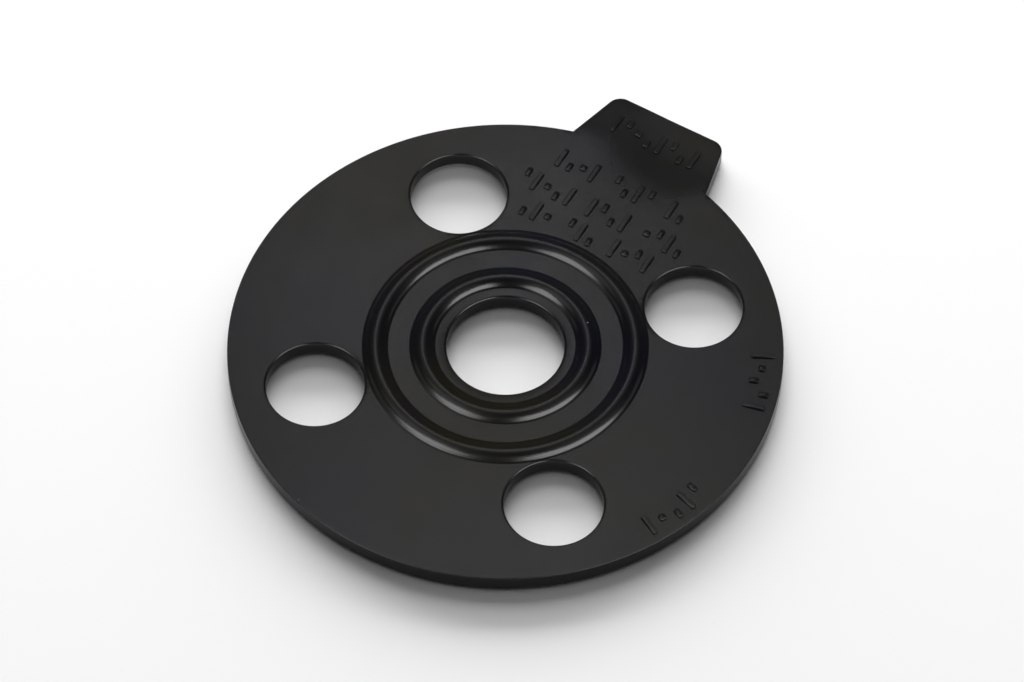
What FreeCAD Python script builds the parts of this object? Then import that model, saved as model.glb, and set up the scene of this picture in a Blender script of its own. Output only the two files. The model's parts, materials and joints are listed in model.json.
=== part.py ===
import FreeCAD, Part
import math
import os

# Full face rubber flange gasket, one moulded piece, in millimetres.
# The bore's axis is Z, and the origin lies on it, midway between the two faces.
# The grip tab points to +Y, midway between two bolt holes.

# Body
outside_diameter = 86.0
thickness = 2.6
bore_diameter = 18.2

# Bolt holes
bolt_circle_diameter = 60.3
bolt_hole_diameter = 15.2
bolt_hole_count = 4

# Convex sealing rings, the same on both faces, counted outwards from the bore
bore_lip_width = 1.8
ring_width = 3.9
ring_height = 0.75
ring_spacing = 3.3

# Grip tab
tab_reach = 8.3
tab_end_width = 19.5
tab_side_taper = 13.4
tab_corner_radius = 2.2

# How far the tab's root runs into the body
tab_root_overlap = 1.5
# How far a cutting tool stands clear of the sealing rings' crests
cutter_clearance = 2.0

half_thickness = thickness / 2
rim_radius = outside_diameter / 2
bore_radius = bore_diameter / 2
bolt_hole_radius = bolt_hole_diameter / 2
inner_ring_radius = bore_radius + bore_lip_width + ring_width / 2
outer_ring_radius = inner_ring_radius + ring_width + ring_spacing


def section_point(radius, height):
    """A point of a turned section, in the XZ plane."""
    return FreeCAD.Vector(radius, 0, height)


def section_lines(*places):
    """Straight stretches of a turned section, through the places in turn."""
    points = [section_point(radius, height) for radius, height in places]
    return [Part.LineSegment(start, end).toShape() for start, end in zip(points, points[1:])]


def sealing_ring_crest(ring_radius):
    """The convex section of one sealing ring, an arc from foot to foot on the upper face."""
    half_width = ring_width / 2
    inner_foot = section_point(ring_radius - half_width, half_thickness)
    crest = section_point(ring_radius, half_thickness + ring_height)
    outer_foot = section_point(ring_radius + half_width, half_thickness)
    return Part.Arc(inner_foot, crest, outer_foot).toShape()


def mirrored_below(edges):
    """The same stretches of section, mirrored to the lower face."""
    return [edge.mirror(FreeCAD.Vector(0, 0, 0), FreeCAD.Vector(0, 0, 1)) for edge in edges]


def turn(edges):
    """The solid turned about Z from a closed section."""
    section = Part.Face(Part.Wire(Part.__sortEdges__(edges)))
    return section.revolve(FreeCAD.Vector(0, 0, 0), FreeCAD.Vector(0, 0, 1), 360)


def make_round_body():
    """The turned body: both faces with their sealing rings, the bore and the rim in one revolve."""
    top = half_thickness
    upper = []
    reached = bore_radius
    for ring_radius in (inner_ring_radius, outer_ring_radius):
        upper += section_lines((reached, top), (ring_radius - ring_width / 2, top))
        upper.append(sealing_ring_crest(ring_radius))
        reached = ring_radius + ring_width / 2
    upper += section_lines((reached, top), (rim_radius, top))
    bore_wall = section_lines((bore_radius, -top), (bore_radius, top))
    rim_wall = section_lines((rim_radius, top), (rim_radius, -top))
    return turn(upper + mirrored_below(upper) + bore_wall + rim_wall)


def is_upright(edge):
    """Whether an edge runs from one face to the other."""
    return edge.BoundBox.ZLength > half_thickness


def make_tab():
    """The grip tab: a tapered tongue as thick as the body, with two rounded outer corners."""
    end_y = rim_radius + tab_reach
    end_half = tab_end_width / 2
    taper = math.tan(math.radians(tab_side_taper))
    rim_half = end_half + tab_reach * taper
    rim_y = math.sqrt(rim_radius ** 2 - rim_half ** 2)
    root_y = rim_y - tab_root_overlap
    root_half = end_half + (end_y - root_y) * taper
    corners = [(-root_half, root_y), (root_half, root_y), (end_half, end_y), (-end_half, end_y)]
    points = [FreeCAD.Vector(x, y, -half_thickness) for x, y in corners]
    tongue = Part.Face(Part.makePolygon(points + points[:1])).extrude(FreeCAD.Vector(0, 0, thickness))
    outer_corners = [edge for edge in tongue.Edges if is_upright(edge) and edge.CenterOfMass.y > rim_radius]
    return tongue.makeFillet(tab_corner_radius, outer_corners)


def make_bolt_hole_cutters():
    """The bolt holes' cutters, evenly round the bolt circle, with the tab midway between two of them."""
    pitch = 360 / bolt_hole_count
    cutter_top = half_thickness + ring_height + cutter_clearance
    cutters = []
    for number in range(bolt_hole_count):
        angle = math.radians(90 + pitch * (number + 0.5))
        place_x = bolt_circle_diameter / 2 * math.cos(angle)
        place_y = bolt_circle_diameter / 2 * math.sin(angle)
        foot = FreeCAD.Vector(place_x, place_y, -cutter_top)
        cutters.append(Part.makeCylinder(bolt_hole_radius, 2 * cutter_top, foot))
    return cutters


def make_gasket():
    """The whole moulding: the body with its tab, and the bolt holes through it."""
    moulding = make_round_body().fuse(make_tab()).removeSplitter()
    return moulding.cut(make_bolt_hole_cutters()).Solids[0]


os.makedirs("parts", exist_ok=True)
gasket = make_gasket()
gasket.exportStep("parts/gasket.step")
print("gasket valid", gasket.isValid(), "volume mm3", round(gasket.Volume, 1))
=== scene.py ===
from collections import namedtuple
import json
import math

import bmesh
import bpy
from bpy.props import FloatProperty, FloatVectorProperty, IntProperty, PointerProperty
from bpy.types import Operator, Panel, PropertyGroup
from mathutils import Matrix, Vector


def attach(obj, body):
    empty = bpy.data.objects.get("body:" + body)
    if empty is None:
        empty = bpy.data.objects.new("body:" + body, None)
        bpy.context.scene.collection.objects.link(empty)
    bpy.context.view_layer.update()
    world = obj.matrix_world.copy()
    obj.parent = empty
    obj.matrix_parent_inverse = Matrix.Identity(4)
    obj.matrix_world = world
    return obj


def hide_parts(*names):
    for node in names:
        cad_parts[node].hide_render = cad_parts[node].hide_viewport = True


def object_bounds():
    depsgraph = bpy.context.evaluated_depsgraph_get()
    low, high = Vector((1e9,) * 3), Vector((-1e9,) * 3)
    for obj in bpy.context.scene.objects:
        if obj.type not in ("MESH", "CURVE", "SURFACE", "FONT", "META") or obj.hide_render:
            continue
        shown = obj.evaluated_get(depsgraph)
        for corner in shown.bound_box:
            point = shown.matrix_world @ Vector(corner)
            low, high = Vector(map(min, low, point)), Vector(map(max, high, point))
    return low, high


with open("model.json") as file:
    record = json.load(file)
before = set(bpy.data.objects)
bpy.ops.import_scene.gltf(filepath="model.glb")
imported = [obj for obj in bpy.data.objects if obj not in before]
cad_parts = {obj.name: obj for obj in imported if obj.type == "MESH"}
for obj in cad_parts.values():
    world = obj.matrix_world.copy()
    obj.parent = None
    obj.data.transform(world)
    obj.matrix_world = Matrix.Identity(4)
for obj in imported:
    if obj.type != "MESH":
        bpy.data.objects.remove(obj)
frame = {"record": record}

bl_info = {
    "name": "Rubber Flange Gasket",
    "version": (1, 0, 0),
    "blender": (4, 5, 0),
    "location": "View3D > Sidebar > Gasket",
    "description": "Models a moulded rubber flange gasket in its studio",
    "category": "Add Mesh",
}

MILLIMETRE = 0.001
GASKET_NODE = "gasket"

# Sizes that the frame gives
CAD_LOW, CAD_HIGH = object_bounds()
MOUNTS = {mount["name"]: mount for mount in frame["record"]["mounts"]}
BORE_RADIUS = MOUNTS["bore"]["dims"]["r_mm"] * MILLIMETRE
SHEET_THICKNESS = MOUNTS["bore"]["dims"]["length_mm"] * MILLIMETRE
BOLT_CIRCLE_RADIUS = MOUNTS["bolt_holes"]["dims"]["pcd_mm"] / 2 * MILLIMETRE
BOLT_HOLE_RADIUS = MOUNTS["bolt_holes"]["dims"]["hole_r_mm"] * MILLIMETRE
BOLT_HOLE_COUNT = MOUNTS["bolt_holes"]["dims"]["count"]
CREST_HEIGHT = MOUNTS["upper_sealing_rings"]["pos_m"][2]
RIM_RADIUS = -CAD_LOW.y
TAB_END = CAD_HIGH.y

# Two drawn points nearer than this are one and the same
SAME_PLACE = 1e-6
# Room that keeps a cutter's faces off the faces that it cuts
CUT_ROOM = 0.004 * MILLIMETRE
# How far a cutter stands out above and below
CUT_REACH = 3 * MILLIMETRE

# A bevelled corner bulges this share of the way from its chord's middle to its sharp corner
BEVEL_BULGE = math.sqrt(2) - 1
# Rounds in which a sealing ring's sharp peak and its foot settle on each other
PEAK_ROUNDS = 6
# Share of a foot's run that its rounding takes, so that it stops short of the crest's rounding
FOOT_SHARE = 0.97

# Faces across each kind of rounding
CREST_FACES = 14
FOOT_FACES = 6
MOUTH_FACES = 5
EDGE_FACES = 4
TAB_CORNER_FACES = 10
BAR_EDGE_FACES = 3

# Rows of plain raised bars: middle x and y in millimetres, and the bars in the row
# t is tall, s short and low, h short and high, d a square dot, and a space is a gap
BAR_ROWS = (
    (0.0, 35.7, "tsdt hsth ts"),
    (0.0, 29.7, "htdst thst dhts"),
    (0.0, 24.6, "std hts tdht"),
    (0.0, 46.2, "thdsthst"),
)
# Arcs of the same bars near the rim: middle angle in degrees, and the bars
BAR_ARCS = (
    (21.0, "tdsht"),
    (-19.0, "sthdt"),
)
# Radius of those arcs as a share of the rim's, and their pitch as a share of a row's
ARC_RADIUS_SHARE = 0.925
ARC_PITCH_SHARE = 1.2
# Length of a short bar as a share of a tall one's, and side of a square dot as a share of a bar's width
SHORT_BAR_SHARE = 0.45
SQUARE_DOT_SHARE = 1.3
# Rounding of a bar's edges as a share of its width
BAR_EDGE_SHARE = 0.2

# The tab's sag starts this far past its root and grows over the bend's length, row by row
SAG_START = 0.6 * MILLIMETRE
SAG_BEND_LENGTH = 3 * MILLIMETRE
SAG_ROWS = 18

# Middles of the shallow hollows side by side across the tab's root, in millimetres
HOLLOW_MIDDLES = ((0.2, 45.6), (5.6, 44.4))
# Steps each way of the grid that lets the tab's root bend, and how far before it faces are cut as well
GRID_STEPS = 18
GRID_ROOM = 8 * MILLIMETRE

# Edges sharper than this stay sharp, and large faces win over small ones by this weight
SHARP_ANGLE = math.radians(40)
LARGE_FACE_WEIGHT = 50

# The rubber's patterns, with scales in turns a metre
Pattern = namedtuple("Pattern", "scale detail roughness")
CLOUDS = Pattern(28, 3, 0.5)
FLOW = Pattern(160, 4, 0.6)
GRAIN = Pattern(2600, 3, 0.6)
DUST_SCALE = 330
# Parts of the patterns' range over which the tone and the gloss change
TONE_RANGE = (0.38, 0.62)
GLOSS_RANGE = (0.55, 0.95)
# How much the flow pattern adds to the gloss streaks and to the relief
FLOW_IN_GLOSS = 0.5
FLOW_IN_RELIEF = 1.4
# Strength and depth of the relief
RELIEF_STRENGTH = 0.35
RELIEF_DEPTH = 0.02 * MILLIMETRE
# Share of the dust's cells that stay clean, where a speck's edge starts and ends, and how much rougher it is
CLEAN_SHARE = 0.962
SPECK_FADE = (0.028, 0.045)
SPECK_DULLNESS = 0.4
# The dull patch at the tab: its middle, where its edge starts and ends, and how much rougher it is
PATCH_MIDDLE = (2.6 * MILLIMETRE, 45.5 * MILLIMETRE)
PATCH_FADE = (2 * MILLIMETRE, 14.5 * MILLIMETRE)
PATCH_DULLNESS = 0.16

# The floor's side in metres, its clouds, and their tone as a share of its own
FLOOR_SIDE = 6
FLOOR_CLOUDS = Pattern(6, 2, 0.5)
FLOOR_CLOUD_TONE = 0.995

# Level softboxes overhead, placed as the camera sees them, in metres
# Each shows a share of the brightness that its setting gives
OverheadCard = namedtuple("OverheadCard", "name left right near far height setting share")
OVERHEAD_CARDS = (
    OverheadCard("right_softbox", 0.22, 0.62, -0.97, -0.34, 1, "softbox_radiance", 1),
    OverheadCard("far_softbox", 0.62, 1.75, -0.97, -0.16, 1, "softbox_radiance", 1),
    OverheadCard("left_softbox", -1.3, -0.4, -0.8, -0.12, 1, "softbox_radiance", 0.9),
    OverheadCard("back_panel", -0.38, 0.32, 0.22, 0.81, 1, "panel_radiance", 1),
    OverheadCard("far_strip", -0.11, 0.07, 0.73, 0.79, 0.98, "strip_radiance", 2),
    OverheadCard("near_strip", -0.1, 0.11, 0.47, 0.59, 0.98, "strip_radiance", 1),
    OverheadCard("left_bridge", -0.75, -0.2, -0.1, 0.34, 0.985, "bridge_radiance", 1),
    OverheadCard("right_bridge", 0.2, 0.75, -0.15, 0.25, 0.985, "bridge_radiance", 0.5),
)
# Low softboxes: degrees round from the camera and above the floor, width and height in metres
# Each shows a share of the low glow's brightness
LowCard = namedtuple("LowCard", "name turn elevation width height share")
LOW_CARDS = (
    LowCard("front_glow", 0, 19, 3, 0.9, 1),
    LowCard("left_glow", -97, 21, 1, 0.92, 0.5),
    LowCard("right_glow", 97, 21, 1, 0.92, 0.5),
)
# Distance of the aimed lamps from the gasket, in metres
LAMP_DISTANCE = 2
# The key and the back fill stand behind, this far round from the camera
KEY_TURN = math.radians(182)
# Sides of the plain lamps in metres, and how high the back fill stands
KEY_WIDTH = 4.5
KEY_HEIGHT = 0.98
BACK_FILL_ELEVATION = math.radians(40)
BACK_FILL_SIDE = 1.5
OVERHEAD_FILL_SIDE = 2
# Spots each way into which a lamp is split to sum its light
LAMP_SPOTS = 24

# The place that the camera faces, and the distance at which its view starts, in metres
CAMERA_TARGET = (0, 0.002, 0)
CAMERA_START = 0.01


def length_property(name, description, default):
    """A size in metres that shows in the sidebar."""
    return FloatProperty(name=name, description=description, default=default, precision=5,
                         subtype="DISTANCE", unit="LENGTH")


def angle_property(name, description, degrees):
    """An angle that shows in the sidebar."""
    return FloatProperty(name=name, description=description, default=math.radians(degrees),
                         subtype="ANGLE", unit="ROTATION")


def share_property(name, description, default):
    """A share from 0 to 1 that shows in the sidebar."""
    return FloatProperty(name=name, description=description, default=default, min=0, max=1,
                         subtype="FACTOR")


def number_property(name, description, default):
    """A plain number that shows in the sidebar."""
    return FloatProperty(name=name, description=description, default=default, precision=3)


def count_property(name, description, default):
    """A whole number that shows in the sidebar."""
    return IntProperty(name=name, description=description, default=default, min=3)


def colour_property(name, description, default):
    """A colour that shows in the sidebar."""
    return FloatVectorProperty(name=name, description=description, default=default, subtype="COLOR")


class GasketSizes(PropertyGroup):
    """Sizes of the moulded gasket."""

    inner_ring_radius: length_property("Inner ring", "Radius of the inner sealing ring's crest", 0.01285)
    outer_ring_radius: length_property("Outer ring", "Radius of the outer sealing ring's crest", 0.02015)
    ring_width: length_property("Ring width", "Width of a sealing ring between its flanks' feet", 0.00358)
    foot_run: length_property("Ring foot", "Length of the soft hollow at a sealing ring's foot", 0.0003)
    edge_radius: length_property("Edge", "Radius of the rounding along the rim and the tab", 0.00013)
    mouth_radius: length_property("Hole mouth", "Radius of the rounding at the holes' mouths", 0.00042)
    tab_end_width: length_property("Tab end", "Width of the grip tab at its outer end", 0.0195)
    tab_corner_radius: length_property("Tab corner", "Radius of the grip tab's outer corners", 0.0022)
    tab_side_taper: angle_property("Tab taper", "Lean of the grip tab's two sides", 13.4)
    tab_root: length_property("Tab root", "Distance of the tab's hidden root from the bore's axis", 0.0398)
    tab_droop: angle_property("Tab droop", "How far the grip tab sags from the level", 1.9)
    hollow_depth: length_property("Hollow depth", "Depth of each hollow at the tab's root", 0.00036)
    hollow_reach: length_property("Hollow reach", "Radius of each hollow at the tab's root", 0.0075)
    mark_height: length_property("Mark height", "Height of a moulded mark above the face", 0.00032)
    mark_length: length_property("Mark length", "Length of a tall moulded mark", 0.0036)
    mark_width: length_property("Mark width", "Width of a moulded mark", 0.00085)
    mark_pitch: length_property("Mark pitch", "Distance from one moulded mark to the next", 0.002)
    steps_round: count_property("Steps round", "Number of faces round the gasket", 192)
    steps_round_hole: count_property("Steps round a hole", "Number of faces round a bolt hole", 96)


class RubberLook(PropertyGroup):
    """Colour and gloss of the black rubber."""

    olive: colour_property("Olive black", "Warmer tone of the rubber", (0.0056, 0.0050, 0.0028))
    blue: colour_property("Blue black", "Cooler tone of the rubber", (0.0031, 0.0035, 0.0062))
    dust: colour_property("Dust", "Colour of the dust specks", (0.16, 0.16, 0.15))
    low_roughness: share_property("Smoothest", "Roughness where the rubber shines most", 0.19)
    high_roughness: share_property("Roughest", "Roughness where the rubber shines least", 0.25)
    refraction: number_property("Refraction", "Index of refraction of the rubber", 1.5)


class StudioSetup(PropertyGroup):
    """Floor, lights and camera."""

    floor_colour: colour_property("Floor", "Colour of the floor as the camera sees it", (0.98, 0.98, 0.98))
    floor_bounce: share_property("Floor bounce", "Tone of the floor in the gasket's own gloss", 0.9)
    softbox_radiance: number_property("Softboxes", "Brightness of the three large softboxes overhead", 5.6)
    panel_radiance: number_property("Back panel", "Brightness of the panel behind", 0.21)
    strip_radiance: number_property("Strips", "Brightness of the two strips under the panel", 1.8)
    bridge_radiance: number_property("Bridges", "Brightness between the panel and the softboxes", 0.7)
    glow_radiance: number_property("Low glow", "Brightness of the three low softboxes", 0.6)
    key_share: share_property("Key share", "Share of the plain light from the low key lamp", 0.51)
    key_elevation: angle_property("Key height", "Angle of the key lamp above the floor", 14.5)
    back_share: share_property("Back fill share", "Share of the plain light from the back fill", 0.34)
    world_share: share_property("World share", "Share of the plain light from the world", 0.035)
    camera_azimuth: angle_property("Camera azimuth", "Angle of the camera round the gasket", 31)
    camera_elevation: angle_property("Camera elevation", "Angle of the camera above the floor", 54.8)
    camera_distance: length_property("Camera distance", "Distance from the camera to the gasket", 0.88)
    camera_lens: FloatProperty(name="Lens", description="Focal length of the camera in millimetres",
                               default=200, unit="CAMERA")


def deselect_all():
    bpy.ops.object.select_all(action="DESELECT")


def make_active(piece):
    """Selects one piece alone."""
    deselect_all()
    piece.select_set(True)
    bpy.context.view_layer.objects.active = piece


def settle(piece):
    """Puts a piece's place, turn and scale into its mesh."""
    make_active(piece)
    bpy.ops.object.transform_apply(location=True, rotation=True, scale=True)


def select_where(piece, wanted, kind="verts"):
    """Selects, in edit mode, the vertices, edges or faces that are wanted, and nothing else."""
    bpy.ops.mesh.select_mode(type={"verts": "VERT", "edges": "EDGE", "faces": "FACE"}[kind])
    bpy.ops.mesh.select_all(action="DESELECT")
    mesh = bmesh.from_edit_mesh(piece.data)
    for element in getattr(mesh, kind):
        if wanted(element):
            element.select_set(True)
    mesh.select_flush_mode()
    bmesh.update_edit_mesh(piece.data)


def draw_outline(name, corners):
    """Draws a closed flat outline corner by corner, fills it, and stays in edit mode."""
    deselect_all()
    bpy.ops.mesh.primitive_plane_add(size=MILLIMETRE, location=corners[0])
    piece = bpy.context.object
    piece.name = name
    settle(piece)
    bpy.ops.object.mode_set(mode="EDIT")
    bpy.ops.mesh.select_mode(type="VERT")
    bpy.ops.mesh.select_all(action="SELECT")
    bpy.ops.mesh.merge(type="CENTER")
    for start, end in zip(corners, corners[1:]):
        bpy.ops.mesh.extrude_vertices_move(TRANSFORM_OT_translate={"value": Vector(end) - Vector(start)})
    bpy.ops.mesh.select_all(action="SELECT")
    bpy.ops.mesh.edge_face_add()
    return piece


def round_corners(piece, corners, run, faces):
    """Rounds some corners of an outline, each along the run on both sides of it."""
    places = [Vector(corner) for corner in corners]
    select_where(piece, lambda vertex: any((vertex.co - place).length < SAME_PLACE for place in places))
    bpy.ops.mesh.bevel(offset=run, segments=faces, affect="VERTICES", profile=0.5)


def round_edges(piece, wanted, run, faces):
    """Rounds the edges that are wanted."""
    select_where(piece, wanted, kind="edges")
    bpy.ops.mesh.bevel(offset=run, segments=faces, affect="EDGES", profile=0.5)


def spin_outline(piece, steps):
    """Turns a rounded outline about Z into a closed shell and leaves edit mode."""
    bpy.ops.mesh.select_mode(type="FACE")
    bpy.ops.mesh.select_all(action="SELECT")
    bpy.ops.mesh.delete(type="ONLY_FACE")

    def on_axis(edge):
        return all(abs(vertex.co.x) < SAME_PLACE for vertex in edge.verts)

    select_where(piece, on_axis, kind="edges")
    bpy.ops.mesh.delete(type="EDGE_FACE")
    bpy.ops.mesh.select_mode(type="VERT")
    bpy.ops.mesh.select_all(action="SELECT")
    bpy.ops.mesh.spin(steps=steps, angle=math.tau, center=(0, 0, 0), axis=(0, 0, 1))
    bpy.ops.mesh.select_all(action="SELECT")
    bpy.ops.mesh.remove_doubles(threshold=SAME_PLACE / 10)
    bpy.ops.mesh.normals_make_consistent(inside=False)
    bpy.ops.object.mode_set(mode="OBJECT")


def combine(piece, other, operation):
    """Joins another closed shell to a piece, or cuts it out, and removes the other."""
    make_active(piece)
    modifier = piece.modifiers.new("Combine", "BOOLEAN")
    modifier.operation = operation
    modifier.solver = "EXACT"
    modifier.object = other
    bpy.ops.object.modifier_apply(modifier=modifier.name)
    bpy.data.objects.remove(other)


def join_pieces(pieces):
    """One piece from several, with its place in its mesh."""
    deselect_all()
    for piece in pieces:
        piece.select_set(True)
    bpy.context.view_layer.objects.active = pieces[0]
    bpy.ops.object.join()
    joined = bpy.context.object
    settle(joined)
    return joined


def mirrored_below(outline):
    """An upper outline's corners mirrored to the lower side, in reverse order."""
    return [(x, y, -z) for x, y, z in reversed(outline)]


def upper_corners(sizes, top):
    """The upper face's outline from the bore to the rim, with a sharp peak for each sealing ring."""
    half_width = sizes.ring_width / 2
    rise = CREST_HEIGHT - top
    peak = rise / BEVEL_BULGE
    for _ in range(PEAK_ROUNDS):
        foot_rise = sizes.foot_run * peak / math.hypot(half_width, peak)
        peak = foot_rise + (rise - foot_rise) / BEVEL_BULGE
    corners = [(BORE_RADIUS, 0, top)]
    for radius in (sizes.inner_ring_radius, sizes.outer_ring_radius):
        corners += [(radius - half_width, 0, top), (radius, 0, top + peak), (radius + half_width, 0, top)]
    corners.append((RIM_RADIUS, 0, top))
    return corners


def make_round_body(sizes):
    """The round sheet with two convex sealing rings on each face, spun about the bore's axis."""
    top = SHEET_THICKNESS / 2
    upper = upper_corners(sizes, top)
    body = draw_outline("gasket_body", upper + mirrored_below(upper))
    flank = (Vector(upper[2]) - Vector(upper[1])).length
    both = [(x, y, side * z) for x, y, z in upper for side in (1, -1)]
    peaks = [corner for corner in both if abs(corner[2]) > top + SAME_PLACE]
    bore_edges = [corner for corner in both if corner[0] == BORE_RADIUS]
    rim_edges = [corner for corner in both if corner[0] == RIM_RADIUS]
    feet = [corner for corner in both if corner not in peaks + bore_edges + rim_edges]
    round_corners(body, peaks, flank - sizes.foot_run, CREST_FACES)
    round_corners(body, feet, sizes.foot_run * FOOT_SHARE, FOOT_FACES)
    round_corners(body, bore_edges, sizes.mouth_radius, MOUTH_FACES)
    round_corners(body, rim_edges, sizes.edge_radius, EDGE_FACES)
    spin_outline(body, sizes.steps_round)
    return body


def make_tab(sizes):
    """The tapered grip tab, as thick as the sheet, with rounded corners and edges."""
    bottom = -SHEET_THICKNESS / 2
    end_half = sizes.tab_end_width / 2
    root_half = end_half + (TAB_END - sizes.tab_root) * math.tan(sizes.tab_side_taper)
    end_corners = [(end_half, TAB_END, bottom), (-end_half, TAB_END, bottom)]
    root_corners = [(-root_half, sizes.tab_root, bottom), (root_half, sizes.tab_root, bottom)]
    tab = draw_outline("grip_tab", root_corners + end_corners)
    corner_run = sizes.tab_corner_radius * math.tan((math.pi / 2 - sizes.tab_side_taper) / 2)
    round_corners(tab, end_corners, corner_run, TAB_CORNER_FACES)
    bpy.ops.mesh.select_mode(type="FACE")
    bpy.ops.mesh.select_all(action="SELECT")
    bpy.ops.mesh.extrude_region_move(TRANSFORM_OT_translate={"value": (0, 0, SHEET_THICKNESS)})

    def is_free_edge(edge):
        start, end = (vertex.co for vertex in edge.verts)
        level = abs(start.z - end.z) < SAME_PLACE
        at_root = max(start.y, end.y) < sizes.tab_root + SAME_PLACE
        return level and not at_root

    round_edges(tab, is_free_edge, sizes.edge_radius, EDGE_FACES)
    bpy.ops.mesh.select_all(action="SELECT")
    bpy.ops.mesh.normals_make_consistent(inside=False)
    bpy.ops.object.mode_set(mode="OBJECT")
    return tab


def make_bolt_hole_cutter(sizes):
    """A spool on the bore's axis that cuts one bolt hole with both its mouths rounded."""
    top = SHEET_THICKNESS / 2 + CUT_ROOM
    flare = BOLT_HOLE_RADIUS + sizes.mouth_radius + CUT_ROOM
    reach = top + CUT_REACH
    upper = [(0, 0, reach), (flare, 0, reach), (flare, 0, top), (BOLT_HOLE_RADIUS, 0, top)]
    lower = mirrored_below(upper)
    cutter = draw_outline("bolt_hole_cutter", upper + lower)
    round_corners(cutter, [upper[-1], lower[0]], sizes.mouth_radius, MOUTH_FACES)
    spin_outline(cutter, sizes.steps_round_hole)
    return cutter


def make_bolt_hole_cutters(sizes):
    """The bolt holes' cutters in one shell, with the tab midway between two of them."""
    cutter = make_bolt_hole_cutter(sizes)
    copies = []
    for number in range(BOLT_HOLE_COUNT):
        angle = math.pi / 2 + math.tau / BOLT_HOLE_COUNT * (number + 0.5)
        make_active(cutter)
        bpy.ops.object.duplicate()
        place = Vector((math.cos(angle), math.sin(angle), 0)) * BOLT_CIRCLE_RADIUS
        bpy.ops.transform.translate(value=place)
        copies.append(bpy.context.object)
    bpy.data.objects.remove(cutter)
    return join_pieces(copies)


def make_mark(name, width, length, sizes):
    """One plain raised bar, half sunk into the face, with its upper edges rounded."""
    depth = 2 * sizes.mark_height
    deselect_all()
    bpy.ops.mesh.primitive_cube_add(size=1, scale=(width, length, depth))
    mark = bpy.context.object
    mark.name = name
    settle(mark)
    bpy.ops.object.mode_set(mode="EDIT")

    def is_raised(edge):
        return max(vertex.co.z for vertex in edge.verts) > 0

    round_edges(mark, is_raised, width * BAR_EDGE_SHARE, BAR_EDGE_FACES)
    bpy.ops.object.mode_set(mode="OBJECT")
    return mark


def place_bars(masters, bars, pitch, to_place):
    """Copies of the plain bars, one for each letter of a row's code."""
    copies = []
    for number, kind in enumerate(bars):
        if kind == " ":
            continue
        along = (number - (len(bars) - 1) / 2) * pitch
        make_active(masters[kind])
        bpy.ops.object.duplicate()
        bar = bpy.context.object
        bar.matrix_world = to_place(along)
        copies.append(bar)
    return copies


def make_marks(sizes):
    """Plain raised bars in rows on the tab, beside it and near the rim. They spell nothing."""
    width, length = sizes.mark_width, sizes.mark_length
    short = length * SHORT_BAR_SHARE
    dot = width * SQUARE_DOT_SHARE
    masters = {"t": make_mark("tall_bar", width, length, sizes)}
    for kind, offset in (("s", -1), ("h", 1)):
        bar = make_mark("short_bar", width, short, sizes)
        bpy.ops.transform.translate(value=(0, offset * (length - short) / 2, 0))
        settle(bar)
        masters[kind] = bar
    masters["d"] = make_mark("square_dot", dot, dot, sizes)
    top = SHEET_THICKNESS / 2
    copies = []
    for middle_x, middle_y, bars in BAR_ROWS:
        def in_row(along):
            return Matrix.Translation((middle_x * MILLIMETRE + along, middle_y * MILLIMETRE, top))

        copies += place_bars(masters, bars, sizes.mark_pitch, in_row)
    radius = RIM_RADIUS * ARC_RADIUS_SHARE
    for middle_angle, bars in BAR_ARCS:
        def on_arc(along):
            turn = Matrix.Rotation(math.radians(middle_angle) - math.pi / 2 - along / radius, 4, "Z")
            return turn @ Matrix.Translation((0, radius, top))

        copies += place_bars(masters, bars, sizes.mark_pitch * ARC_PITCH_SHARE, on_arc)
    for master in masters.values():
        bpy.data.objects.remove(master)
    return join_pieces(copies)


def droop_tab(piece, sizes):
    """Lets the grip tab sag a little from its root, as soft rubber does past the ring that it rests on."""
    first = sizes.tab_root + SAG_START
    places = [first + (TAB_END - first) * number / SAG_ROWS for number in range(SAG_ROWS)]
    make_active(piece)
    bpy.ops.object.mode_set(mode="EDIT")
    for place in places:
        bpy.ops.mesh.select_all(action="SELECT")
        bpy.ops.mesh.bisect(plane_co=(0, place, 0), plane_no=(0, 1, 0))
    slope = math.tan(sizes.tab_droop)
    reached = first
    for place in places[1:] + [TAB_END]:
        middle = (reached + place) / 2
        middle_slope = slope * min(1, (middle - first) / SAG_BEND_LENGTH)
        fall = -middle_slope * (place - reached)
        select_where(piece, lambda vertex: vertex.co.y > middle)
        bpy.ops.transform.translate(value=(0, 0, fall))
        reached = place
    bpy.ops.object.mode_set(mode="OBJECT")


def cut_grid(piece, low, high):
    """Cuts the faces at the tab's root into a fine grid, so that they can bend."""
    for axis in (0, 1):
        normal = [1 - axis, axis, 0]
        for number in range(GRID_STEPS + 1):
            place = low.lerp(high, number / GRID_STEPS)
            select_where(piece, lambda face: face.calc_center_median().y > low.y - GRID_ROOM, kind="faces")
            bpy.ops.mesh.bisect(plane_co=place, plane_no=normal)


def hollow_tab_root(piece, sizes):
    """Presses shallow hollows into the tab's root, where handling has bent the soft rubber."""
    reach = Vector((1, 1, 0)) * sizes.hollow_reach
    middles = [Vector((x, y, 0)) * MILLIMETRE for x, y in HOLLOW_MIDDLES]
    make_active(piece)
    bpy.ops.object.mode_set(mode="EDIT")
    low = Vector(map(min, *middles)) - reach
    high = Vector(map(max, *middles)) + reach
    high.y = min(high.y, TAB_END - sizes.tab_corner_radius)
    cut_grid(piece, low, high)
    for middle in middles:
        mesh = bmesh.from_edit_mesh(piece.data)
        picked = set()
        for side in (1, -1):
            place = middle + Vector((0, 0, side * SHEET_THICKNESS / 2))
            picked.add(min(mesh.verts, key=lambda vertex: (vertex.co - place).length).index)
        select_where(piece, lambda vertex: vertex.index in picked)
        bpy.ops.transform.translate(value=(0, 0, -sizes.hollow_depth), use_proportional_edit=True,
                                    proportional_edit_falloff="SMOOTH",
                                    proportional_size=sizes.hollow_reach)
    bpy.ops.object.mode_set(mode="OBJECT")


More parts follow.
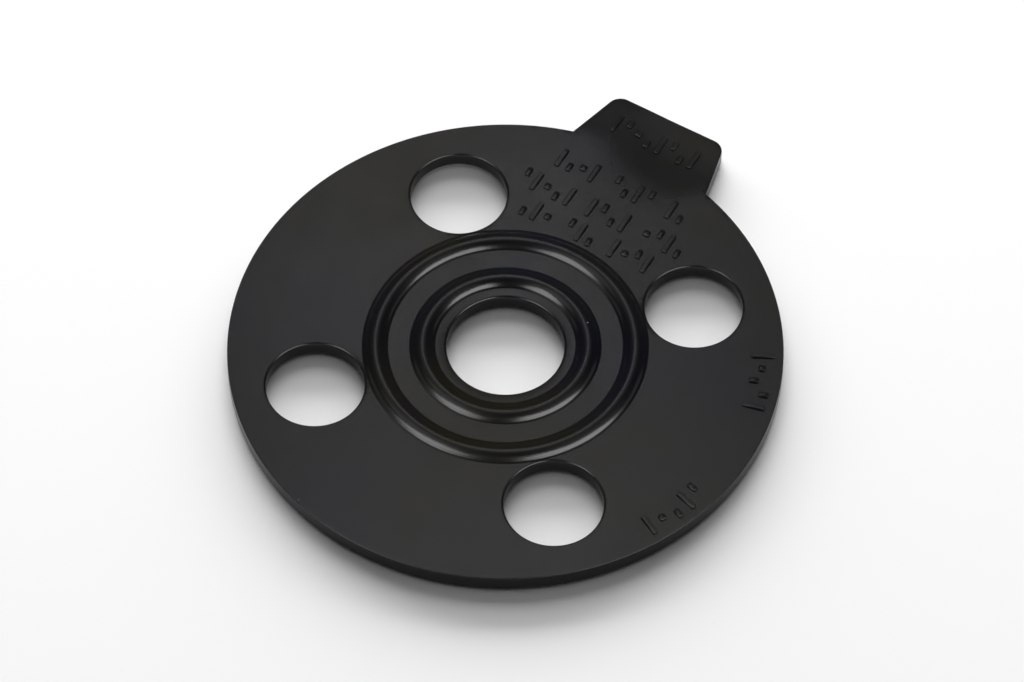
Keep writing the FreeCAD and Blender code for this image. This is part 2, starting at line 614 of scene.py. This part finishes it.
def smooth_faces(piece):
    """Smooth shading that keeps the flat faces flat."""
    make_active(piece)
    bpy.ops.object.shade_smooth_by_angle(angle=SHARP_ANGLE)
    modifier = piece.modifiers.new("Flat faces", "WEIGHTED_NORMAL")
    modifier.mode = "FACE_AREA"
    modifier.weight = LARGE_FACE_WEIGHT
    modifier.keep_sharp = True
    bpy.ops.object.modifier_apply(modifier=modifier.name)


class NodeLayout:
    """Adds and wires the nodes of one material."""

    def __init__(self, material):
        material.use_nodes = True
        self.tree = material.node_tree
        self.tree.nodes.clear()

    def add(self, kind, **inputs):
        """A node with some of its inputs given."""
        node = self.tree.nodes.new(kind)
        for name, value in inputs.items():
            node.inputs[name].default_value = value
        return node

    def wire(self, source, target):
        self.tree.links.new(source, target)

    def finish(self, shader):
        """Wires a shader node to the material's output."""
        output = self.add("ShaderNodeOutputMaterial")
        self.wire(shader.outputs["BSDF"], output.inputs["Surface"])


def noise(layout, position, pattern):
    """The noise of a pattern."""
    node = layout.add("ShaderNodeTexNoise", Scale=pattern.scale, Detail=pattern.detail,
                      Roughness=pattern.roughness)
    layout.wire(position, node.inputs["Vector"])
    return node.outputs["Fac"]


def spread(layout, value, low, high, to_low, to_high):
    """Maps a value's range to another, held at both ends."""
    ends = {"From Min": low, "From Max": high, "To Min": to_low, "To Max": to_high}
    node = layout.add("ShaderNodeMapRange", **ends)
    node.clamp = True
    layout.wire(value, node.inputs["Value"])
    return node.outputs["Result"]


def colour_socket(sockets, name):
    """A mixing node's colour socket of a name."""
    return next(socket for socket in sockets if socket.name == name and socket.type == "RGBA")


def mix_colours(layout, share, first, second):
    """One colour or the other, by a share from 0 to 1."""
    node = layout.add("ShaderNodeMix")
    node.data_type = "RGBA"
    layout.wire(share, node.inputs["Factor"])
    for name, colour in (("A", first), ("B", second)):
        socket = colour_socket(node.inputs, name)
        if isinstance(colour, bpy.types.NodeSocket):
            layout.wire(colour, socket)
        else:
            socket.default_value = (*colour, 1)
    return colour_socket(node.outputs, "Result")


def calculate(layout, operation, first, second):
    """A sum, product or other operation on two values."""
    node = layout.add("ShaderNodeMath")
    node.operation = operation
    for socket, value in zip(node.inputs, (first, second)):
        if isinstance(value, bpy.types.NodeSocket):
            layout.wire(value, socket)
        else:
            socket.default_value = value
    return node.outputs["Value"]


def add_share(layout, value, other, share):
    """A value with a share of another added."""
    return calculate(layout, "ADD", value, calculate(layout, "MULTIPLY", other, share))


def dust_specks(layout, position):
    """Where the few dust specks lie, as a share from 0 to 1."""
    cells = layout.add("ShaderNodeTexVoronoi", Scale=DUST_SCALE)
    layout.wire(position, cells.inputs["Vector"])
    near_centre = spread(layout, cells.outputs["Distance"], *SPECK_FADE, 1, 0)
    picked = layout.add("ShaderNodeSeparateColor")
    layout.wire(cells.outputs["Color"], picked.inputs["Color"])
    rare = calculate(layout, "GREATER_THAN", picked.outputs["Red"], CLEAN_SHARE)
    return calculate(layout, "MULTIPLY", near_centre, rare)


def dull_patch(layout, position):
    """Where handling has dulled the tab and the sheet beside it, as a share from 0 to 1."""
    from_middle = layout.add("ShaderNodeVectorMath")
    from_middle.operation = "DISTANCE"
    from_middle.inputs[1].default_value = (*PATCH_MIDDLE, SHEET_THICKNESS / 2)
    layout.wire(position, from_middle.inputs[0])
    patch = spread(layout, from_middle.outputs["Value"], *PATCH_FADE, 1, 0)
    patch.node.interpolation_type = "SMOOTHERSTEP"
    return patch


def make_black_rubber(look):
    """Satin black rubber: cloudy tone, fine moulding grain, a dull patch at the tab and a little dust."""
    material = bpy.data.materials.new("black_rubber")
    layout = NodeLayout(material)
    position = layout.add("ShaderNodeTexCoord").outputs["Object"]
    clouds = noise(layout, position, CLOUDS)
    flow = noise(layout, position, FLOW)
    grain = noise(layout, position, GRAIN)
    dust = dust_specks(layout, position)

    tone = spread(layout, clouds, *TONE_RANGE, 0, 1)
    rubber_colour = mix_colours(layout, tone, look.blue, look.olive)
    colour = mix_colours(layout, dust, rubber_colour, look.dust)

    streaks = add_share(layout, clouds, flow, FLOW_IN_GLOSS)
    roughness = spread(layout, streaks, *GLOSS_RANGE, look.low_roughness, look.high_roughness)
    roughness = add_share(layout, roughness, dull_patch(layout, position), PATCH_DULLNESS)
    roughness = add_share(layout, roughness, dust, SPECK_DULLNESS)

    bump = layout.add("ShaderNodeBump", Strength=RELIEF_STRENGTH, Distance=RELIEF_DEPTH)
    layout.wire(add_share(layout, grain, flow, FLOW_IN_RELIEF), bump.inputs["Height"])

    shader = layout.add("ShaderNodeBsdfPrincipled", IOR=look.refraction)
    layout.wire(colour, shader.inputs["Base Color"])
    layout.wire(roughness, shader.inputs["Roughness"])
    layout.wire(bump.outputs["Normal"], shader.inputs["Normal"])
    layout.finish(shader)
    return material


def make_floor_finish(setup):
    """Matt pale floor with a faint unevenness, a little greyer in the gasket's gloss than to the camera."""
    material = bpy.data.materials.new("pale_floor")
    layout = NodeLayout(material)
    position = layout.add("ShaderNodeTexCoord").outputs["Object"]
    clouds = noise(layout, position, FLOOR_CLOUDS)
    cloud_colour = [part * FLOOR_CLOUD_TONE for part in setup.floor_colour]
    pale = mix_colours(layout, clouds, setup.floor_colour, cloud_colour)
    seen = layout.add("ShaderNodeLightPath").outputs["Is Camera Ray"]
    colour = mix_colours(layout, seen, [setup.floor_bounce] * 3, pale)
    matt = layout.add("ShaderNodeBsdfDiffuse")
    layout.wire(colour, matt.inputs["Color"])
    layout.finish(matt)
    return material


def direction(azimuth, elevation):
    """The way to a place seen at an azimuth round the gasket and an elevation above the floor."""
    level = math.cos(elevation)
    return Vector((math.sin(azimuth) * level, -math.cos(azimuth) * level, math.sin(elevation)))


def aim(thing, target=(0, 0, 0)):
    """Turns a lamp or camera to face a place."""
    thing.rotation_euler = (Vector(target) - thing.location).to_track_quat("-Z", "Y").to_euler()


def add_area_lamp(name, place, width, height, radiance):
    """A rectangular lamp of a plain radiance that faces down."""
    deselect_all()
    bpy.ops.object.light_add(type="AREA", location=place)
    lamp = bpy.context.object
    lamp.name = name
    lamp.data.shape = "RECTANGLE"
    lamp.data.size = width
    lamp.data.size_y = height
    lamp.data.energy = radiance * math.pi * width * height
    return lamp


def add_overhead_card(card, setup):
    """A level softbox overhead that only the gloss sees, placed as the camera sees it."""
    middle = Vector(((card.left + card.right) / 2, (card.near + card.far) / 2, card.height))
    turn = Matrix.Rotation(setup.camera_azimuth, 3, "Z")
    radiance = getattr(setup, card.setting) * card.share
    lamp = add_area_lamp(card.name, turn @ middle, card.right - card.left, card.far - card.near, radiance)
    lamp.rotation_euler = (0, 0, setup.camera_azimuth)
    lamp.visible_diffuse = False


def add_low_card(card, setup):
    """A low softbox that only the gloss sees, aimed at the gasket."""
    azimuth = setup.camera_azimuth + math.radians(card.turn)
    place = direction(azimuth, math.radians(card.elevation)) * LAMP_DISTANCE
    lamp = add_area_lamp(card.name, place, card.width, card.height, setup.glow_radiance * card.share)
    lamp.visible_diffuse = False
    aim(lamp)


def light_on_floor(lamp):
    """Light that one watt of a lamp puts on the floor below the gasket, summed over the lamp."""
    places = [(number + 0.5) / LAMP_SPOTS - 0.5 for number in range(LAMP_SPOTS)]
    facing = lamp.matrix_world.to_3x3() @ Vector((0, 0, -1))
    total = 0
    for across in places:
        for along in places:
            spot = lamp.matrix_world @ Vector((across * lamp.data.size, along * lamp.data.size_y, 0))
            total += facing.dot(-spot) * spot.z / spot.length ** 4
    return total / (math.pi * LAMP_SPOTS ** 2)


def add_plain_lamp(name, azimuth, elevation, width, height, share):
    """A lamp that lights plainly, unseen in the gloss, with its share of the light on the floor."""
    lamp = add_area_lamp(name, direction(azimuth, elevation) * LAMP_DISTANCE, width, height, 1)
    lamp.visible_glossy = False
    aim(lamp)
    bpy.context.view_layer.update()
    lamp.data.energy = share * math.pi / light_on_floor(lamp)


class OBJECT_OT_make_flange_gasket(Operator):
    """Models the moulded rubber gasket in place of its plain solid"""

    bl_idname = "object.make_flange_gasket"
    bl_label = "Make Flange Gasket"

    def execute(self, context):
        sizes = context.scene.gasket_sizes
        gasket = make_round_body(sizes)
        combine(gasket, make_tab(sizes), "UNION")
        combine(gasket, make_bolt_hole_cutters(sizes), "DIFFERENCE")
        combine(gasket, make_marks(sizes), "UNION")
        droop_tab(gasket, sizes)
        hollow_tab_root(gasket, sizes)
        smooth_faces(gasket)
        gasket.data.materials.clear()
        gasket.data.materials.append(make_black_rubber(context.scene.rubber_look))
        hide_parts(GASKET_NODE)
        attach(gasket, "root")
        return {"FINISHED"}


class OBJECT_OT_make_gasket_studio(Operator):
    """Sets up the pale floor, the soft lights and the camera"""

    bl_idname = "object.make_gasket_studio"
    bl_label = "Make Gasket Studio"

    def execute(self, context):
        setup = context.scene.gasket_studio
        self.add_floor(setup)
        self.add_gloss_cards(setup)
        self.add_plain_light(context, setup)
        self.add_camera(context, setup)
        context.scene.view_settings.view_transform = "Standard"
        return {"FINISHED"}

    def add_floor(self, setup):
        deselect_all()
        bpy.ops.mesh.primitive_plane_add(size=FLOOR_SIDE, location=(0, 0, CAD_LOW.z))
        floor = bpy.context.object
        floor.name = "floor"
        settle(floor)
        floor.data.materials.append(make_floor_finish(setup))

    def add_gloss_cards(self, setup):
        for card in OVERHEAD_CARDS:
            add_overhead_card(card, setup)
        for card in LOW_CARDS:
            add_low_card(card, setup)

    def add_plain_light(self, context, setup):
        behind = setup.camera_azimuth + KEY_TURN
        fill_share = 1 - setup.key_share - setup.back_share - setup.world_share
        add_plain_lamp("low_key", behind, setup.key_elevation, KEY_WIDTH, KEY_HEIGHT, setup.key_share)
        add_plain_lamp("back_fill", behind, BACK_FILL_ELEVATION, BACK_FILL_SIDE, BACK_FILL_SIDE,
                       setup.back_share)
        add_plain_lamp("overhead_fill", 0, math.pi / 2, OVERHEAD_FILL_SIDE, OVERHEAD_FILL_SIDE, fill_share)
        world = bpy.data.worlds.new("studio_world")
        world.use_nodes = True
        background = world.node_tree.nodes["Background"]
        background.inputs["Color"].default_value = (1, 1, 1, 1)
        background.inputs["Strength"].default_value = setup.world_share
        context.scene.world = world

    def add_camera(self, context, setup):
        away = direction(setup.camera_azimuth, setup.camera_elevation)
        deselect_all()
        bpy.ops.object.camera_add(location=away * setup.camera_distance)
        camera = bpy.context.object
        camera.name = "camera"
        camera.data.lens = setup.camera_lens
        camera.data.clip_start = CAMERA_START
        aim(camera, CAMERA_TARGET)
        context.scene.camera = camera


class VIEW3D_PT_flange_gasket(Panel):
    """Sidebar panel with the gasket's sizes and steps"""

    bl_label = "Flange Gasket"
    bl_space_type = "VIEW_3D"
    bl_region_type = "UI"
    bl_category = "Gasket"

    def draw(self, context):
        layout = self.layout
        for group in ("gasket_sizes", "rubber_look", "gasket_studio"):
            settings = getattr(context.scene, group)
            column = layout.column()
            for name in settings.bl_rna.properties.keys():
                if name not in ("name", "rna_type"):
                    column.prop(settings, name)
        for operator in (OBJECT_OT_make_flange_gasket, OBJECT_OT_make_gasket_studio):
            layout.operator(operator.bl_idname)


CLASSES = (
    GasketSizes,
    RubberLook,
    StudioSetup,
    OBJECT_OT_make_flange_gasket,
    OBJECT_OT_make_gasket_studio,
    VIEW3D_PT_flange_gasket,
)


def register():
    for item in CLASSES:
        bpy.utils.register_class(item)
    bpy.types.Scene.gasket_sizes = PointerProperty(type=GasketSizes)
    bpy.types.Scene.rubber_look = PointerProperty(type=RubberLook)
    bpy.types.Scene.gasket_studio = PointerProperty(type=StudioSetup)


def unregister():
    del bpy.types.Scene.gasket_studio
    del bpy.types.Scene.rubber_look
    del bpy.types.Scene.gasket_sizes
    for item in reversed(CLASSES):
        bpy.utils.unregister_class(item)


def main():
    """Builds everything in order."""
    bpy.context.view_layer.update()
    register()
    bpy.ops.object.make_flange_gasket()
    bpy.ops.object.make_gasket_studio()


if __name__ == "__main__":
    main()
